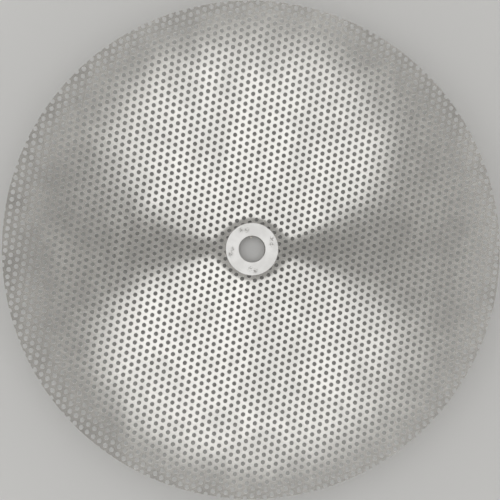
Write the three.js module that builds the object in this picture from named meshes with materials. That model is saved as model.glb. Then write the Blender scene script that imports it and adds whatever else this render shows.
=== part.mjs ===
// A dished, perforated stainless steel strainer screen, with a plain flat washer on each side of its
// centre bore and one tack weld inside the bore. Millimetres, +Z up. The dish opens upwards and the
// part stands on its lower washer. The origin is the centre of that washer's bottom face.
//
// The screen is one sheet: a flat land between the washers, a short blend, and then a straight cone
// out to a plain cut edge. Its punched holes are far too many for these solids, so it is a plain sheet.

import * as THREE from 'three';

// Screen: a 12 inch disc of 18 gauge sheet.
const SCREEN_RADIUS = 152.4;
const SHEET_THICKNESS = 1.2;
const DISH_DEPTH = 24;
const LAND_RADIUS = 17;
const BLEND_WIDTH = 9;

// Washers: plain, for a 5/8 inch bolt, with edges rounded by tumbling.
const WASHER_OUTER_RADIUS = 16.67;
const WASHER_BORE_RADIUS = 8.33;
const WASHER_THICKNESS = 2.4;
const WASHER_EDGE_RADIUS = 0.35;

// Tack weld: a small bead standing against the bore wall, from the screen up into the upper washer.
// Its middle is TACK_DROP below the middle of that washer.
const TACK_RADIUS = 0.75;
const TACK_HEIGHT = 2.6;
const TACK_WALL_GAP = 0.05;
const TACK_DROP = 0.4;
const TACK_AZIMUTH = THREE.MathUtils.degToRad(94);

// Facets around a full turn, and along a quarter round.
const SCREEN_FACETS = 96;
const WASHER_FACETS = 72;
const TACK_FACETS = 16;
const BLEND_STEPS = 4;
const CORNER_STEPS = 3;

// Heights that follow from the stack: lower washer, sheet, upper washer.
const LAND_BOTTOM = WASHER_THICKNESS;
const LAND_TOP = LAND_BOTTOM + SHEET_THICKNESS;
const CONE_SLOPE = DISH_DEPTH / (SCREEN_RADIUS - LAND_RADIUS - BLEND_WIDTH / 2);

const stainlessSheet = new THREE.MeshStandardMaterial({ color: 0xc4c2bc, roughness: 0.38, metalness: 1 });
const stainlessWasher = new THREE.MeshStandardMaterial({ color: 0xe9e8e4, roughness: 0.3, metalness: 1 });
const weldMetal = new THREE.MeshStandardMaterial({ color: 0xb4b2ac, roughness: 0.5, metalness: 1 });

// Height of the sheet above its land at a given radius.
function dishRise(radius) {
  const past = radius - LAND_RADIUS;
  if (past <= 0) return 0;
  if (past < BLEND_WIDTH) return CONE_SLOPE * past * past / (2 * BLEND_WIDTH);
  return CONE_SLOPE * (past - BLEND_WIDTH / 2);
}

// Turns a closed outline of (radius, height) points about Z.
function turned(outline, facets) {
  const closed = [...outline, outline[0]];
  const geometry = new THREE.LatheGeometry(closed.map(([r, z]) => new THREE.Vector2(r, z)), facets);
  return geometry.rotateX(Math.PI / 2);
}

function piece(name, geometry, material) {
  const mesh = new THREE.Mesh(geometry, material);
  mesh.name = name;
  return mesh;
}

function screen() {
  const radii = [WASHER_BORE_RADIUS, LAND_RADIUS];
  for (let i = 1; i <= BLEND_STEPS; i++) radii.push(LAND_RADIUS + BLEND_WIDTH * i / BLEND_STEPS);
  radii.push(SCREEN_RADIUS);
  const underside = radii.map((r) => [r, LAND_BOTTOM + dishRise(r)]);
  const inside = radii.map((r) => [r, LAND_TOP + dishRise(r)]).reverse();
  return piece('screen', turned([...underside, ...inside], SCREEN_FACETS), stainlessSheet);
}

// A flat ring whose four edges are rounded.
function washer(name, bottom) {
  const corners = [
    [WASHER_OUTER_RADIUS, bottom, -1, 1],
    [WASHER_OUTER_RADIUS, bottom + WASHER_THICKNESS, -1, -1],
    [WASHER_BORE_RADIUS, bottom + WASHER_THICKNESS, 1, -1],
    [WASHER_BORE_RADIUS, bottom, 1, 1],
  ];
  const outline = [];
  corners.forEach(([r, z, inward, upward], corner) => {
    const centreR = r + inward * WASHER_EDGE_RADIUS;
    const centreZ = z + upward * WASHER_EDGE_RADIUS;
    for (let i = 0; i <= CORNER_STEPS; i++) {
      const angle = (corner - 1 + i / CORNER_STEPS) * Math.PI / 2;
      outline.push([
        centreR + WASHER_EDGE_RADIUS * Math.cos(angle),
        centreZ + WASHER_EDGE_RADIUS * Math.sin(angle),
      ]);
    }
  });
  return piece(name, turned(outline, WASHER_FACETS), stainlessWasher);
}

// A round-ended bead with its axis upright.
function tackWeld() {
  const straight = TACK_HEIGHT - 2 * TACK_RADIUS;
  const outline = [];
  for (let i = 0; i <= 2 * CORNER_STEPS; i++) {
    const angle = (i / CORNER_STEPS - 1) * Math.PI / 2;
    if (i === CORNER_STEPS) outline.push([TACK_RADIUS, -straight / 2]);
    const centre = i < CORNER_STEPS ? -straight / 2 : straight / 2;
    outline.push([Math.max(0, TACK_RADIUS * Math.cos(angle)), centre + TACK_RADIUS * Math.sin(angle)]);
  }
  outline[0][0] = 0;
  outline[outline.length - 1][0] = 0;
  const points = outline.map(([r, z]) => new THREE.Vector2(r, z));
  const geometry = new THREE.LatheGeometry(points, TACK_FACETS).rotateX(Math.PI / 2);
  const bead = piece('bore_tack_weld', geometry, weldMetal);
  const axisRadius = WASHER_BORE_RADIUS - TACK_WALL_GAP - TACK_RADIUS;
  bead.position.set(
    axisRadius * Math.cos(TACK_AZIMUTH),
    axisRadius * Math.sin(TACK_AZIMUTH),
    LAND_TOP + WASHER_THICKNESS / 2 - TACK_DROP,
  );
  return bead;
}

const strainer = new THREE.Group();
strainer.add(
  washer('lower_washer', 0),
  screen(),
  washer('upper_washer', LAND_TOP),
  tackWeld(),
);

export default strainer;
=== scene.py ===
"""A dished screen of perforated stainless steel, with a flat washer on each side of its centre bore.

Metres, +Z up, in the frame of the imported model. The dish opens upwards and stands on its lower
washer. Every punched hole of the screen is real geometry.
"""

import math

import bmesh
import bpy
import numpy as np
from mathutils import Matrix, Vector, noise
from mathutils.geometry import delaunay_2d_cdt


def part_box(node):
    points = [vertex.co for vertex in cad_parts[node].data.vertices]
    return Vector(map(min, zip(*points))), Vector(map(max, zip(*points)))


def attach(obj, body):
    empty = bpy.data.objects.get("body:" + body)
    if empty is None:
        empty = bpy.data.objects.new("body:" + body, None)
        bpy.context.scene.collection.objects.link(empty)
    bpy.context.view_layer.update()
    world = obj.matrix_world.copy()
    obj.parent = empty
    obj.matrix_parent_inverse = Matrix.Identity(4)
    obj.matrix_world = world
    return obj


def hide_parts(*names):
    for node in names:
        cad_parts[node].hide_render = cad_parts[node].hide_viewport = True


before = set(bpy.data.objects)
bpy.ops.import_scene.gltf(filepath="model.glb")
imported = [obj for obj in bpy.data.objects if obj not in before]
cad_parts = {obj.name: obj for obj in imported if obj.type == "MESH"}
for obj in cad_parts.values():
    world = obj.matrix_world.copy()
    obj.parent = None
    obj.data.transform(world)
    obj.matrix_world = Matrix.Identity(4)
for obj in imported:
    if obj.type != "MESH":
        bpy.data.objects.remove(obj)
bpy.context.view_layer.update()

MM = 0.001
TURN = 2 * math.pi
# A length of this or less counts as nothing, and points of one mesh this close count as the same.
NEGLIGIBLE = 1e-9
SAME_POINT = 1e-7

# ---------------------------------------------------------------- sizes that come from the frame
screen_low, screen_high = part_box("screen")
washer_low, washer_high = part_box("upper_washer")

SCREEN_RADIUS = screen_high.x
LAND_BOTTOM = screen_low.z
LAND_TOP = washer_low.z
SHEET = LAND_TOP - LAND_BOTTOM
DISH_DEPTH = screen_high.z - LAND_BOTTOM - SHEET
WASHER_RADIUS = washer_high.x
WASHER_THICKNESS = washer_high.z - washer_low.z

# The dish's section and the bore, as in the CAD source.
LAND_RADIUS = 17 * MM
BLEND_WIDTH = 9 * MM
BORE_RADIUS = 8.33 * MM
CONE_SLOPE = DISH_DEPTH / (SCREEN_RADIUS - LAND_RADIUS - BLEND_WIDTH / 2)

# ---------------------------------------------------------------- perforation
# Rows of holes cross in two directions on the flat blank. NEAREST_HOLE is the one nearest its axis.
HOLE_RADIUS = 1.35 * MM
ROW_PITCH, ROW_AZIMUTH = 4.649 * MM, math.radians(21.87)
CROSS_PITCH, CROSS_AZIMUTH = 4.508 * MM, math.radians(82.44)
NEAREST_HOLE = np.array([-1.815, -0.402]) * MM
# How far the pattern sits aside at the middle of the dish. It falls evenly to nothing at the rim.
DRAWN_ASIDE = np.array([2.75, 1.43]) * MM
# The rows run past the rim by this factor before they are trimmed, because they cross at a slant.
PATTERN_REACH = 1.3
HOLE_SIDES = 12
BORE_SIDES = 72
# The slightly rolled edge of each opening.
ROLL_WIDTH = 0.12 * MM
ROLL_DEPTH = 0.08 * MM
ROLL_FOOT = math.radians(4)
# The least metal left beside a hole, and the shallowest cut that the rim makes in one.
MIN_WEB = 0.55 * MM
MIN_NOTCH = 0.15 * MM
# How far apart points are set along the plain parts of the rim.
RIM_STEP = 1.3 * MM


def polar(azimuth, radius=1.0):
    """The plan point at an azimuth and a radius."""
    return np.array([radius * math.cos(azimuth), radius * math.sin(azimuth)])


# ---------------------------------------------------------------- the dish's surface
def slope_at(radius):
    """Rise over run of the screen at each radius: flat, then a blend, then the straight cone."""
    return CONE_SLOPE * np.clip((radius - LAND_RADIUS) / BLEND_WIDTH, 0, 1)


def rise_at(radius):
    """Height of the screen over its land at each radius."""
    past = radius - LAND_RADIUS
    blend = CONE_SLOPE * np.clip(past, 0, BLEND_WIDTH) ** 2 / (2 * BLEND_WIDTH)
    return blend + CONE_SLOPE * np.clip(past - BLEND_WIDTH, 0, None)


def on_inside(points):
    """Lifts plan points onto the face of the sheet inside the dish."""
    return np.column_stack([points, LAND_TOP + rise_at(np.hypot(*points.T))])


def surface_normals(points):
    """Unit normals of that face, which lean towards the axis."""
    radius = np.hypot(*points.T)
    slope = slope_at(radius)
    leaning = -points * (slope / np.maximum(radius, NEGLIGIBLE))[:, None]
    normals = np.column_stack([leaning, np.ones(len(points))])
    return normals / np.linalg.norm(normals, axis=1)[:, None]


# ---------------------------------------------------------------- the hole pattern
def hole_centres():
    """Plan positions of the punched holes, moved in as the flat blank is formed into the dish."""
    row, cross = polar(ROW_AZIMUTH, ROW_PITCH), polar(CROSS_AZIMUTH, CROSS_PITCH)
    count = math.ceil(PATTERN_REACH * SCREEN_RADIUS / CROSS_PITCH)
    steps = np.arange(-count, count + 1)
    i, j = (grid.ravel()[:, None] for grid in np.meshgrid(steps, steps))
    blank = NEAREST_HOLE + i * row + j * cross
    radius = np.hypot(*blank.T)
    gather = math.cos(math.atan(CONE_SLOPE))
    formed = np.where(radius < LAND_RADIUS, radius, LAND_RADIUS + (radius - LAND_RADIUS) * gather)
    gathered = blank * (formed / np.maximum(radius, NEGLIGIBLE))[:, None]
    return gathered + DRAWN_ASIDE * (1 - formed / SCREEN_RADIUS)[:, None]


def sort_holes(centres):
    """Whole holes, and those that the rim cuts. A hole that would only just break out is moved in."""
    radius = np.hypot(*centres.T)
    clear_of_bore = radius - HOLE_RADIUS > BORE_RADIUS + MIN_WEB
    outer = radius + HOLE_RADIUS
    limit = SCREEN_RADIUS - MIN_WEB
    nearly = (outer > limit) & (outer < SCREEN_RADIUS + MIN_NOTCH)
    moved = centres * np.where(nearly, (limit - HOLE_RADIUS) / radius, 1.0)[:, None]
    whole = moved[clear_of_bore & ((outer <= limit) | nearly)]
    cut = centres[(outer >= SCREEN_RADIUS + MIN_NOTCH) & (radius - HOLE_RADIUS < SCREEN_RADIUS - MIN_NOTCH)]
    return whole, cut


def circle_loop(centre, radius, sides, start=0.0):
    """A round opening, gone round clockwise so that the metal is on the left."""
    angles = start - np.arange(sides) * TURN / sides
    outward = np.column_stack([np.cos(angles), np.sin(angles)])
    return centre + radius * outward, -outward


def rim_cuts(cut):
    """Each hole that the rim cuts, in order: centre, azimuth, and half its span on rim and on hole."""
    cuts = []
    for centre in cut[np.argsort(np.arctan2(cut[:, 1], cut[:, 0]))]:
        away = float(np.hypot(*centre))
        along_rim = math.acos((away**2 + SCREEN_RADIUS**2 - HOLE_RADIUS**2) / (2 * away * SCREEN_RADIUS))
        round_hole = math.acos((away**2 + HOLE_RADIUS**2 - SCREEN_RADIUS**2) / (2 * away * HOLE_RADIUS))
        cuts.append((centre, math.atan2(centre[1], centre[0]), along_rim, round_hole))
    return cuts


def notch_arc(centre, azimuth, round_hole):
    """The arc that a cut hole leaves in the rim: its points, and the way out of the metal at each."""
    segments = max(2, math.ceil(2 * round_hole / (TURN / HOLE_SIDES)))
    for step in range(segments + 1):
        angle = azimuth + math.pi + round_hole * (1 - 2 * step / segments)
        point = centre + HOLE_RADIUS * polar(angle)
        way_out = -polar(angle)
        if step in (0, segments):
            way_out = way_out + point / np.hypot(*point)
        yield point, way_out / np.hypot(*way_out)


def rim_loop(cut):
    """The rim, gone round anticlockwise, with a notch wherever it cuts a hole.

    Gives the points, the way out of the metal at each, and which notch it is in (-1 for none)."""
    points, ways_out, notch = [], [], []
    cuts = rim_cuts(cut)
    for index, (centre, azimuth, along_rim, round_hole) in enumerate(cuts):
        for point, way_out in notch_arc(centre, azimuth, round_hole):
            points.append(point)
            ways_out.append(way_out)
            notch.append(index)
        _, next_azimuth, next_along, _ = cuts[(index + 1) % len(cuts)]
        start = azimuth + along_rim
        gap = (next_azimuth - next_along - start) % TURN
        plain = max(1, round(gap * SCREEN_RADIUS / RIM_STEP))
        for step in range(1, plain):
            way_out = polar(start + gap * step / plain)
            points.append(SCREEN_RADIUS * way_out)
            ways_out.append(way_out)
            notch.append(-1)
    return np.array(points), np.array(ways_out), np.array(notch)


# ---------------------------------------------------------------- mesh helpers
def mesh_object(name, vertices, faces, loop_normals=None):
    """A smooth shaded object, with shading normals of its own if they are given."""
    mesh = bpy.data.meshes.new(name)
    mesh.from_pydata([tuple(v) for v in vertices], [], faces)
    mesh.polygons.foreach_set("use_smooth", [True] * len(mesh.polygons))
    if loop_normals is not None:
        mesh.normals_split_custom_set([tuple(n) for n in loop_normals])
    mesh.update()
    piece = bpy.data.objects.new(name, mesh)
    bpy.context.scene.collection.objects.link(piece)
    return piece


def bake_map(mesh, flat):
    """Lays the mesh's own unwrapping, from a flat position for each face corner."""
    layer = mesh.uv_layers.new(name="OFBake")
    layer.data.foreach_set("uv", flat.astype(np.float32).ravel())


# ---------------------------------------------------------------- the screen
# Unwrapping: the middle of each face on the map, half its span, and how far in a wall is laid.
FACE_MIDDLE, BACK_MIDDLE = np.array([0.295, 0.295]), np.array([0.705, 0.705])
FACE_HALF_SPAN = 0.285
WALL_LAID_IN = 0.7 * HOLE_RADIUS
# A triangle with no more than half this area is left out.
NO_AREA = (1e-4 * MM) ** 2


def screen_openings():
    """Every loop of the screen joined into one list: points, ways out, opening ids, next points.

    The rim is the last loop, and the last value says where it starts."""
    whole, cut = sort_holes(hole_centres())
    loops = [circle_loop(c, HOLE_RADIUS, HOLE_SIDES, ROW_AZIMUTH) for c in whole]
    ids = [np.full(HOLE_SIDES, k) for k in range(len(loops))]
    loops.append(circle_loop(np.zeros(2), BORE_RADIUS, BORE_SIDES))
    ids.append(np.full(BORE_SIDES, len(ids)))
    rim_points, rim_ways, notch = rim_loop(cut)
    loops.append((rim_points, rim_ways))
    ids.append(np.where(notch < 0, -1, notch + len(ids)))
    following, start = [], 0
    for points, _ in loops:
        following.append(start + (np.arange(len(points)) + 1) % len(points))
        start += len(points)
    rim_start = start - len(rim_points)
    return (
        np.concatenate([points for points, _ in loops]),
        np.concatenate([ways for _, ways in loops]),
        np.concatenate(ids),
        np.concatenate(following),
        rim_start,
    )


def inside_outline(places, outline):
    """Which places lie inside a closed outline, by how many of its sides a ray along +X crosses."""
    x, y = places[:, :1], places[:, 1:]
    start_x, start_y = outline.T
    end_x, end_y = np.roll(outline, -1, axis=0).T
    spans = (start_y > y) != (end_y > y)
    rise = np.where(end_y == start_y, 1.0, end_y - start_y)
    crossing = start_x + (y - start_y) * (end_x - start_x) / rise
    return (spans & (x < crossing)).sum(axis=1) % 2 == 1


def web_triangles(points, ids, following, rim_start):
    """Fills the metal inside the rim with triangles, and leaves the openings and notches empty."""
    edges = [(int(a), int(b)) for a, b in enumerate(following)]
    scaled = [Vector(p) for p in points / MM]
    found, _, faces, *_ = delaunay_2d_cdt(scaled, edges, [], 0, SAME_POINT, False)
    assert len(found) == len(points), "two loops of the screen cross"
    triangles = np.array([face for face in faces if len(face) == 3])
    own = ids[triangles]
    empty = (own[:, 0] == own[:, 1]) & (own[:, 1] == own[:, 2]) & (own[:, 0] >= 0)
    on_rim = (triangles >= rim_start).all(axis=1)
    middles = points[triangles[on_rim]].mean(axis=1)
    empty[on_rim] |= ~inside_outline(middles, points[rim_start:])
    triangles = triangles[~empty]
    a, b, c = (points[triangles[:, k]] for k in range(3))
    doubled_area = (b[:, 0] - a[:, 0]) * (c[:, 1] - a[:, 1]) - (b[:, 1] - a[:, 1]) * (c[:, 0] - a[:, 0])
    triangles[doubled_area < 0] = triangles[doubled_area < 0][:, ::-1]
    return triangles[np.abs(doubled_area) > NO_AREA]


def ring_quads(first, second, following):
    """The four corners of each quad between two rings, from a value for each point of the rings."""
    return np.stack([first, second, second[following], first[following]], axis=1)


def screen_rings(points, flat_edge):
    """Three rings at each opening: where the face stops, the foot of the rolled edge, and the back."""
    normals = surface_normals(points)
    lean = np.arctan(slope_at(np.hypot(*points.T)))
    face = on_inside(points)
    rolled = face - normals * ROLL_DEPTH
    back = face - normals * (SHEET * np.cos(lean))[:, None]
    for ring in (rolled, back):
        reach = np.hypot(*ring[:, :2].T)
        ring[:, :2] /= np.maximum(reach / SCREEN_RADIUS, 1.0)[:, None]
    back[:, 2] = LAND_BOTTOM + rise_at(np.hypot(*back[:, :2].T))
    return on_inside(flat_edge), rolled, back


def screen_faces(triangles, following):
    """The face, the rolled edges, the walls and the back, as lists of vertex numbers."""
    count = len(following)
    here = np.arange(count)
    rolls = ring_quads(here, here + count, following)
    walls = ring_quads(here + count, here + 2 * count, following)
    backs = triangles[:, ::-1] + 2 * count
    return [face.tolist() for group in (triangles, rolls, walls, backs) for face in group]


def screen_normals(points, ways_out, flat_edge, back, triangles, following):
    """Shading normals: the faces keep the dish's own, and the edges turn down towards the walls."""
    normals = surface_normals(points)
    up, down = surface_normals(flat_edge), -surface_normals(back[:, :2])
    across = np.column_stack([ways_out, np.zeros(len(points))])
    across -= normals * np.sum(across * normals, axis=1)[:, None]
    across /= np.linalg.norm(across, axis=1)[:, None]
    foot = normals * math.cos(ROLL_FOOT) + across * math.sin(ROLL_FOOT)
    return np.concatenate([
        up[triangles].reshape(-1, 3),
        ring_quads(up, foot, following).reshape(-1, 3),
        ring_quads(across, across, following).reshape(-1, 3),
        down[triangles[:, ::-1]].reshape(-1, 3),
    ])


def screen_unwrapping(points, ways_out, flat_edge, back, triangles, following):
    """The two faces side by side on the diagonal, with each wall laid into its own opening."""
    span = FACE_HALF_SPAN / (SCREEN_RADIUS + HOLE_RADIUS)
    laid_in = points + WALL_LAID_IN * ways_out
    face_edge, roll_foot, wall_foot = (FACE_MIDDLE + span * plan for plan in (flat_edge, points, laid_in))
    bottom = BACK_MIDDLE + span * back[:, :2]
    return np.concatenate([
        face_edge[triangles].reshape(-1, 2),
        ring_quads(face_edge, roll_foot, following).reshape(-1, 2),
        ring_quads(roll_foot, wall_foot, following).reshape(-1, 2),
        bottom[triangles[:, ::-1]].reshape(-1, 2),
    ])


def make_screen():
    """The perforated sheet, as one closed mesh."""
    points, ways_out, ids, following, rim_start = screen_openings()
    flat_edge = points - ROLL_WIDTH * ways_out
    triangles = web_triangles(flat_edge, ids, following, rim_start)
    rings = screen_rings(points, flat_edge)
    shape = (points, ways_out, flat_edge, rings[-1], triangles, following)
    faces = screen_faces(triangles, following)
    piece = mesh_object("perforated_screen", np.concatenate(rings), faces, screen_normals(*shape))
    bake_map(piece.data, screen_unwrapping(*shape))
    return piece


# ---------------------------------------------------------------- washers
WASHER_SIDES = 256
WASHER_RINGS = 36
WASHER_EDGE = 0.35 * MM
EDGE_STEPS = 5
WASHER_CROWN = 0.16 * MM
CROWN_POWER = 2.2
WAVINESS, WAVE_LENGTH = 0.015 * MM, 5 * MM
FACE_CLEARANCE = 0.01 * MM
# Generic shallow dents, in pairs about a quarter turn apart: the azimuth and radius of each.
DENT_CIRCLE, DENT_SPREAD = 13.3, 0.7
DENTS = [
    (math.radians(pair + side), (DENT_CIRCLE + DENT_SPREAD * out) * MM)
    for pair in (20, 113, 186, 271)
    for side, out in ((-6.5, -1), (7.5, 1))
]
DENT_WIDTH, DENT_DEPTH = 2.4 * MM, 0.14 * MM
# The size of the ragged patches in a dent, and their middle depth and its range as shares.
DENT_GRAIN = 0.7 * MM
RAGGED_MIDDLE, RAGGED_RANGE = 0.6, 1.7
# The bead's size as a share of its box, how far noise swells or shrinks it, and its lumps' spacing.
BEAD_RINGS, BEAD_SIDES = 18, 28
BEAD_SIZE, BEAD_SWELL = 0.9, 0.1
LUMP_SCALE = 2.3
LUMP_START = Vector((4.1, 0.3, 1.7))


def crowned(radius):
    """How far blanking has rolled a washer's face down towards its two edges."""
    middle, half = (WASHER_RADIUS + BORE_RADIUS) / 2, (WASHER_RADIUS - BORE_RADIUS) / 2
    return WASHER_CROWN * abs((radius - middle) / half) ** CROWN_POWER


def dented(x, y):
    """How far a washer's open face is pressed in at a point, with ragged edges to each dent."""
    depth = 0.0
    for azimuth, radius in DENTS:
        away = math.hypot(x - radius * math.cos(azimuth), y - radius * math.sin(azimuth))
        if away > 2 * DENT_WIDTH:
            continue
        ragged = RAGGED_MIDDLE + RAGGED_RANGE * noise.noise(Vector((x, y, azimuth * MM)) / DENT_GRAIN)
        depth += DENT_DEPTH * max(0.0, ragged) * math.exp(-((away / (DENT_WIDTH / 2)) ** 2))
    return depth


def ring_faces(sides, length):
    """Quads of a section turned right round, from how many times it is set and its number of points."""
    faces = []
    for side in range(sides):
        here, ahead = side * length, (side + 1) % sides * length
        for step in range(length):
            following = (step + 1) % length
            faces.append((here + step, ahead + step, ahead + following, here + following))
    return faces


def washer_outline():
    """Half a washer's section, from the foot of its outside round the top to the foot of its bore."""
    half = WASHER_THICKNESS / 2
    outline = []
    for step in range(EDGE_STEPS + 1):
        angle = step / EDGE_STEPS * math.pi / 2
        outline.append((
            WASHER_RADIUS - WASHER_EDGE * (1 - math.cos(angle)),
            half - WASHER_EDGE * (1 - math.sin(angle)),
        ))
    outer, inner = WASHER_RADIUS - WASHER_EDGE, BORE_RADIUS + WASHER_EDGE
    for ring in range(1, WASHER_RINGS):
        outline.append((outer + (inner - outer) * ring / WASHER_RINGS, half))
    for step in range(EDGE_STEPS + 1):
        angle = step / EDGE_STEPS * math.pi / 2
        outline.append((
            BORE_RADIUS + WASHER_EDGE * (1 - math.sin(angle)),
            half - WASHER_EDGE * (1 - math.cos(angle)),
        ))
    return outline


def make_washer(name, middle, seen_from, seed):
    """A blanked and tumbled washer. seen_from is 1 if its open face is on top, -1 if underneath."""
    upper = washer_outline()
    section = upper + [(radius, -height) for radius, height in reversed(upper)]
    vertices, wear = [], []
    for side in range(WASHER_SIDES):
        azimuth = side * TURN / WASHER_SIDES
        for radius, height in section:
            x, y = radius * math.cos(azimuth), radius * math.sin(azimuth)
            open_side = height * seen_from > 0
            on_face = abs(abs(height) - WASHER_THICKNESS / 2) < NEGLIGIBLE
            pressed = dented(x, y) if on_face and open_side else 0.0
            wave = WAVINESS * noise.noise(Vector((x, y, seed * MM)) / WAVE_LENGTH)
            drop = max(0.0, pressed + wave + FACE_CLEARANCE) if on_face else 0.0
            drop += crowned(radius) if open_side else 0.0
            vertices.append((x, y, middle + height - math.copysign(drop, height)))
            wear.append(min(1.0, pressed / DENT_DEPTH))
    piece = mesh_object(name, vertices, ring_faces(WASHER_SIDES, len(section)))
    worn = piece.data.attributes.new("worn", "FLOAT", "POINT")
    worn.data.foreach_set("value", wear)
    return piece


def weld_ends(mesh):
    """Joins the points that lie together at the two ends of a bead."""
    editable = bmesh.new()
    editable.from_mesh(mesh)
    bmesh.ops.remove_doubles(editable, verts=editable.verts, dist=SAME_POINT)
    editable.to_mesh(mesh)
    editable.free()


def make_tack_weld():
    """A lumpy bead that stands against the bore's wall."""
    low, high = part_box("bore_tack_weld")
    centre, half = (low + high) / 2, (high - low) / 2
    vertices, faces = [], []
    for ring in range(BEAD_RINGS + 1):
        tilt = math.pi * (ring / BEAD_RINGS - 0.5)
        for side in range(BEAD_SIDES):
            azimuth = side * TURN / BEAD_SIDES
            level = math.cos(tilt)
            way = Vector((math.cos(azimuth) * level, math.sin(azimuth) * level, math.sin(tilt)))
            swell = BEAD_SIZE + BEAD_SWELL * noise.noise(way * LUMP_SCALE + LUMP_START)
            vertices.append(centre + Vector(w * h * swell for w, h in zip(way, half)))
            if ring < BEAD_RINGS:
                here = ring * BEAD_SIDES + side
                ahead = ring * BEAD_SIDES + (side + 1) % BEAD_SIDES
                faces.append((here, ahead, ahead + BEAD_SIDES, here + BEAD_SIDES))
    piece = mesh_object("bore_weld_bead", vertices, faces)
    weld_ends(piece.data)
    return piece


# ---------------------------------------------------------------- materials
BLACK = (0.0, 0.0, 0.0, 1)
SHEET_PALE, SHEET_GREY, SHEET_WALL = (0.84, 0.829, 0.797, 1), (0.71, 0.701, 0.675, 1), (0.42, 0.405, 0.38, 1)
TUMBLED_PALE, TUMBLED_GREY = (0.84, 0.837, 0.828, 1), (0.77, 0.767, 0.758, 1)
WASHER_DENT, WASHER_WALL = (0.36, 0.353, 0.34, 1), (0.30, 0.29, 0.275, 1)
WELD_PALE, WELD_STRAW = (0.86, 0.84, 0.80, 1), (0.76, 0.72, 0.64, 1)


class Nodes:
    """Short names for building one material's node tree."""

    def __init__(self, tree):
        self.tree = tree

    def add(self, kind, **settings):
        """A new node with its settings."""
        node = self.tree.nodes.new(kind)
        for key, value in settings.items():
            setattr(node, key, value)
        return node

    def link(self, source, target):
        """Joins an output to an input."""
        self.tree.links.new(source, target)

    def math(self, operation, a, b=0.0, clamp=False):
        """One operation on two values, each a number or another node's output."""
        node = self.add("ShaderNodeMath", operation=operation, use_clamp=clamp)
        for socket, value in zip(node.inputs, (a, b)):
            if isinstance(value, (int, float)):
                socket.default_value = value
            else:
                self.link(value, socket)
        return node.outputs[0]

    def noise(self, position, scale, detail, roughness, stretch=(1, 1, 1)):
        """A soft pattern of 0 to 1, fixed to the object. A stretch below 1 draws it out that way."""
        mapping = self.add("ShaderNodeMapping")
        mapping.inputs["Scale"].default_value = stretch
        self.link(position, mapping.inputs["Vector"])
        node = self.add("ShaderNodeTexNoise")
        node.inputs["Scale"].default_value = scale
        node.inputs["Detail"].default_value = detail
        node.inputs["Roughness"].default_value = roughness
        self.link(mapping.outputs[0], node.inputs["Vector"])
        return node.outputs["Fac"]

    def remap(self, value, low, high, to_low, to_high):
        """Runs smoothly from to_low to to_high as the value goes from low to high."""
        node = self.add("ShaderNodeMapRange", interpolation_type="SMOOTHSTEP")
        for name, number in zip(("From Min", "From Max", "To Min", "To Max"), (low, high, to_low, to_high)):
            node.inputs[name].default_value = number
        self.link(value, node.inputs["Value"])
        return node.outputs["Result"]

    def blend(self, share, first, second):
        """The first colour where the share is 0, and the second where it is 1."""
        node = self.add("ShaderNodeMix", data_type="RGBA")
        for socket, value in ((node.inputs[0], share), (node.inputs[6], first), (node.inputs[7], second)):
            if isinstance(value, (int, float, tuple)):
                socket.default_value = value
            else:
                self.link(value, socket)
        return node.outputs[2]

    def bump(self, shader, height, strength, distance):
        """Shades the surface as if it rose and fell by a height that varies from place to place."""
        node = self.add("ShaderNodeBump")
        node.inputs["Strength"].default_value = strength
        node.inputs["Distance"].default_value = distance
        self.link(height, node.inputs["Height"])
        self.link(node.outputs[0], shader.inputs["Normal"])

    def darker_upright_walls(self):
        """1 on upright walls, which are drawn darker and rougher than the faces, and 0 on the faces."""
        upright = self.add("ShaderNodeSeparateXYZ")
        self.link(self.add("ShaderNodeTexCoord").outputs["Normal"], upright.inputs[0])
        return self.remap(self.math("ABSOLUTE", upright.outputs[2]), 0.3, 0.97, 1.0, 0.0)


def new_material(name):
    """A material with its node helper and its main shader."""
    material = bpy.data.materials.new(name)
    material.use_nodes = True
    tree = material.node_tree
    tree.nodes.clear()
    nodes = Nodes(tree)
    shader = nodes.add("ShaderNodeBsdfPrincipled")
    output = nodes.add("ShaderNodeOutputMaterial")
    nodes.link(shader.outputs[0], output.inputs["Surface"])
    return material, nodes, shader


def sheet_material():
    """Mill-finished stainless sheet: fine rolling grain, faint streaks and cloudy wear."""
    material, nodes, shader = new_material("stainless_sheet")
    position = nodes.add("ShaderNodeTexCoord").outputs["Object"]
    grain = nodes.noise(position, scale=900, detail=4, roughness=0.6, stretch=(0.12, 1, 1))
    cloud = nodes.noise(position, scale=40, detail=6, roughness=0.62)
    streaks = nodes.noise(position, scale=70, detail=5, roughness=0.6, stretch=(1, 0.16, 1))
    polish = nodes.noise(position, scale=11, detail=3, roughness=0.5, stretch=(1, 0.5, 1))
    mill = nodes.blend(nodes.remap(cloud, 0.36, 0.64, 0, 1), SHEET_PALE, SHEET_GREY)
    base = nodes.blend(nodes.remap(streaks, 0.35, 0.65, 1.0, 0.93), BLACK, mill)
    shader.inputs["Metallic"].default_value = 1.0
    wall = nodes.darker_upright_walls()
    nodes.link(nodes.blend(wall, base, SHEET_WALL), shader.inputs["Base Color"])
    rough = nodes.math(
        "ADD",
        nodes.remap(polish, 0.35, 0.7, 0.10, 0.14),
        nodes.remap(grain, 0.3, 0.7, -0.015, 0.015),
    )
    rougher = nodes.math("MULTIPLY", nodes.math("POWER", wall, 0.5), 0.62)
    nodes.link(nodes.math("ADD", rough, rougher), shader.inputs["Roughness"])
    nodes.bump(shader, grain, strength=0.05, distance=0.05 * MM)
    return material


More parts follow.
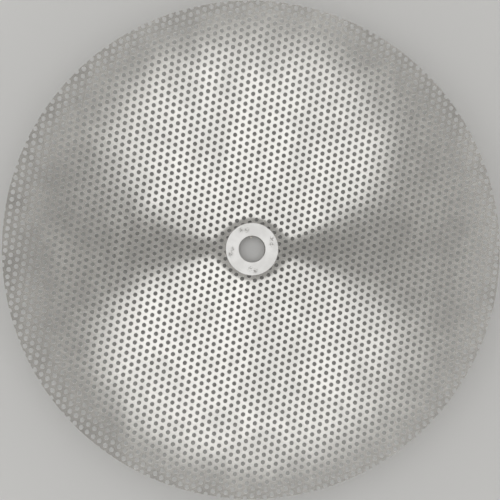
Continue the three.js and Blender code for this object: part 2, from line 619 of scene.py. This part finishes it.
def washer_material():
    """Tumbled stainless: pale and matt, with duller metal in the dents."""
    material, nodes, shader = new_material("stainless_washer")
    position = nodes.add("ShaderNodeTexCoord").outputs["Object"]
    worn = nodes.add("ShaderNodeAttribute", attribute_name="worn").outputs["Fac"]
    pits = nodes.noise(position, scale=1500, detail=3, roughness=0.6)
    cloud = nodes.noise(position, scale=120, detail=3, roughness=0.5)
    tumbled = nodes.blend(nodes.remap(cloud, 0.35, 0.7, 0, 1), TUMBLED_PALE, TUMBLED_GREY)
    base = nodes.blend(nodes.math("MULTIPLY", worn, 1.4, clamp=True), tumbled, WASHER_DENT)
    wall = nodes.darker_upright_walls()
    nodes.link(nodes.blend(wall, base, WASHER_WALL), shader.inputs["Base Color"])
    shader.inputs["Metallic"].default_value = 1.0
    nodes.link(nodes.remap(cloud, 0.3, 0.7, 0.52, 0.60), shader.inputs["Roughness"])
    nodes.bump(shader, pits, strength=0.25, distance=0.03 * MM)
    return material


def weld_material():
    """Weld metal left as it froze: rippled, matt and slightly straw coloured."""
    material, nodes, shader = new_material("weld_metal")
    position = nodes.add("ShaderNodeTexCoord").outputs["Object"]
    ripple = nodes.noise(position, scale=2200, detail=2, roughness=0.5, stretch=(1, 1, 3))
    base = nodes.blend(ripple, WELD_PALE, WELD_STRAW)
    nodes.link(base, shader.inputs["Base Color"])
    shader.inputs["Metallic"].default_value = 1.0
    nodes.link(nodes.remap(ripple, 0.3, 0.7, 0.55, 0.65), shader.inputs["Roughness"])
    nodes.bump(shader, ripple, strength=0.4, distance=0.05 * MM)
    return material


# ---------------------------------------------------------------- the object
def place(piece, material, slot, *nodes):
    """Gives a piece its material, and says which body it rides on and what it replaces."""
    piece.data.materials.append(material)
    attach(piece, "root")
    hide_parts(*nodes)


def make_object():
    """The screen, its two washers and the tack weld."""
    sheet, tumbled, weld = sheet_material(), washer_material(), weld_material()
    place(make_screen(), sheet, "stainless_sheet", "screen")
    upper_middle = (washer_low.z + washer_high.z) / 2
    place(make_washer("washer_top", upper_middle, 1, 1), tumbled, "stainless_washer", "upper_washer")
    lower_middle = WASHER_THICKNESS / 2
    place(make_washer("washer_bottom", lower_middle, -1, 2), tumbled, "stainless_washer", "lower_washer")
    place(make_tack_weld(), weld, "weld_metal", "bore_tack_weld")


# ---------------------------------------------------------------- stage
CAMERA_PLACE = Vector((-46.4, -25.7, 700)) * MM
CAMERA_AIM = Vector((-2.74, -1.37, 27.6)) * MM
CAMERA_LENS = 79.5
CAMERA_NEAR = 0.01
FLOOR_HALF = 6.0
FLOOR_COLOUR = (0.62, 0.62, 0.615, 1)
FLOOR_ROUGHNESS = 0.9
WINDOW_PLACE = Vector((-0.85, 0, 1.1))
WINDOW_SIZE = (1.6, 0.75)
WINDOW_POWER = 3
# The gap between the two softboxes gives the darker band across the middle of the dish.
SOFTBOX_X, SOFTBOX_HEIGHT = 0.12, 1.2
SOFTBOXES = (("softbox_front", -0.385), ("softbox_back", 0.465))
SOFTBOX_SIZE = (1.6, 0.7)
SOFTBOX_POWER = 2.7
# The strength of the walls and of the ceiling. One gives way to the other between these two
# heights of a way out from the origin: 0 is level and 1 is straight up.
WALLS, CEILING = 1.3, 0.36
WALL_TOP, CEILING_EDGE = 0.25, 0.6
ROOM_COLOUR = (1.0, 0.985, 0.955, 1)


def make_camera():
    """Looks down on the dish from a little off its axis, with +Y up in the picture."""
    camera = bpy.data.objects.new("camera", bpy.data.cameras.new("camera"))
    camera.data.lens = CAMERA_LENS
    camera.data.clip_start = CAMERA_NEAR
    backward = (CAMERA_PLACE - CAMERA_AIM).normalized()
    right = Vector((0, 1, 0)).cross(backward).normalized()
    axes = Matrix((right, backward.cross(right), backward)).transposed()
    camera.matrix_world = Matrix.Translation(CAMERA_PLACE) @ axes.to_4x4()
    bpy.context.scene.collection.objects.link(camera)
    bpy.context.scene.camera = camera


def make_floor():
    """A plain pale floor."""
    corners = [(x * FLOOR_HALF, y * FLOOR_HALF, 0) for x, y in ((-1, -1), (1, -1), (1, 1), (-1, 1))]
    floor = mesh_object("floor", corners, [(0, 1, 2, 3)])
    material, _, shader = new_material("floor")
    shader.inputs["Base Color"].default_value = FLOOR_COLOUR
    shader.inputs["Roughness"].default_value = FLOOR_ROUGHNESS
    shader.inputs["Specular IOR Level"].default_value = 0.0
    floor.data.materials.append(material)


def make_softbox(name, spot, side, size, power):
    """A soft rectangular light that faces the object, with its first edge along side."""
    light = bpy.data.lights.new(name, "AREA")
    light.shape = "RECTANGLE"
    light.size, light.size_y = size
    light.energy = power
    lamp = bpy.data.objects.new(name, light)
    backward = spot.normalized()
    up = backward.cross(side).normalized()
    axes = Matrix((up.cross(backward), up, backward)).transposed()
    lamp.matrix_world = Matrix.Translation(spot) @ axes.to_4x4()
    bpy.context.scene.collection.objects.link(lamp)


def make_lights():
    """A window on the left, and a long softbox overhead on each side of the camera."""
    make_softbox("window", WINDOW_PLACE, Vector((0, 1, 0)), WINDOW_SIZE, WINDOW_POWER)
    for name, y in SOFTBOXES:
        overhead = Vector((SOFTBOX_X, y, SOFTBOX_HEIGHT))
        make_softbox(name, overhead, Vector((1, 0, 0)), SOFTBOX_SIZE, SOFTBOX_POWER)


def make_surroundings():
    """Pale walls all round, under a dimmer ceiling."""
    world = bpy.data.worlds.new("studio")
    world.use_nodes = True
    bpy.context.scene.world = world
    nodes = Nodes(world.node_tree)
    background = world.node_tree.nodes["Background"]
    background.inputs["Color"].default_value = ROOM_COLOUR
    way = nodes.add("ShaderNodeSeparateXYZ")
    nodes.link(nodes.add("ShaderNodeTexCoord").outputs["Generated"], way.inputs[0])
    strength = nodes.remap(way.outputs[2], WALL_TOP, CEILING_EDGE, WALLS, CEILING)
    nodes.link(strength, background.inputs["Strength"])


make_camera()
make_object()
make_floor()
make_lights()
make_surroundings()
bpy.context.scene.view_settings.view_transform = "Standard"
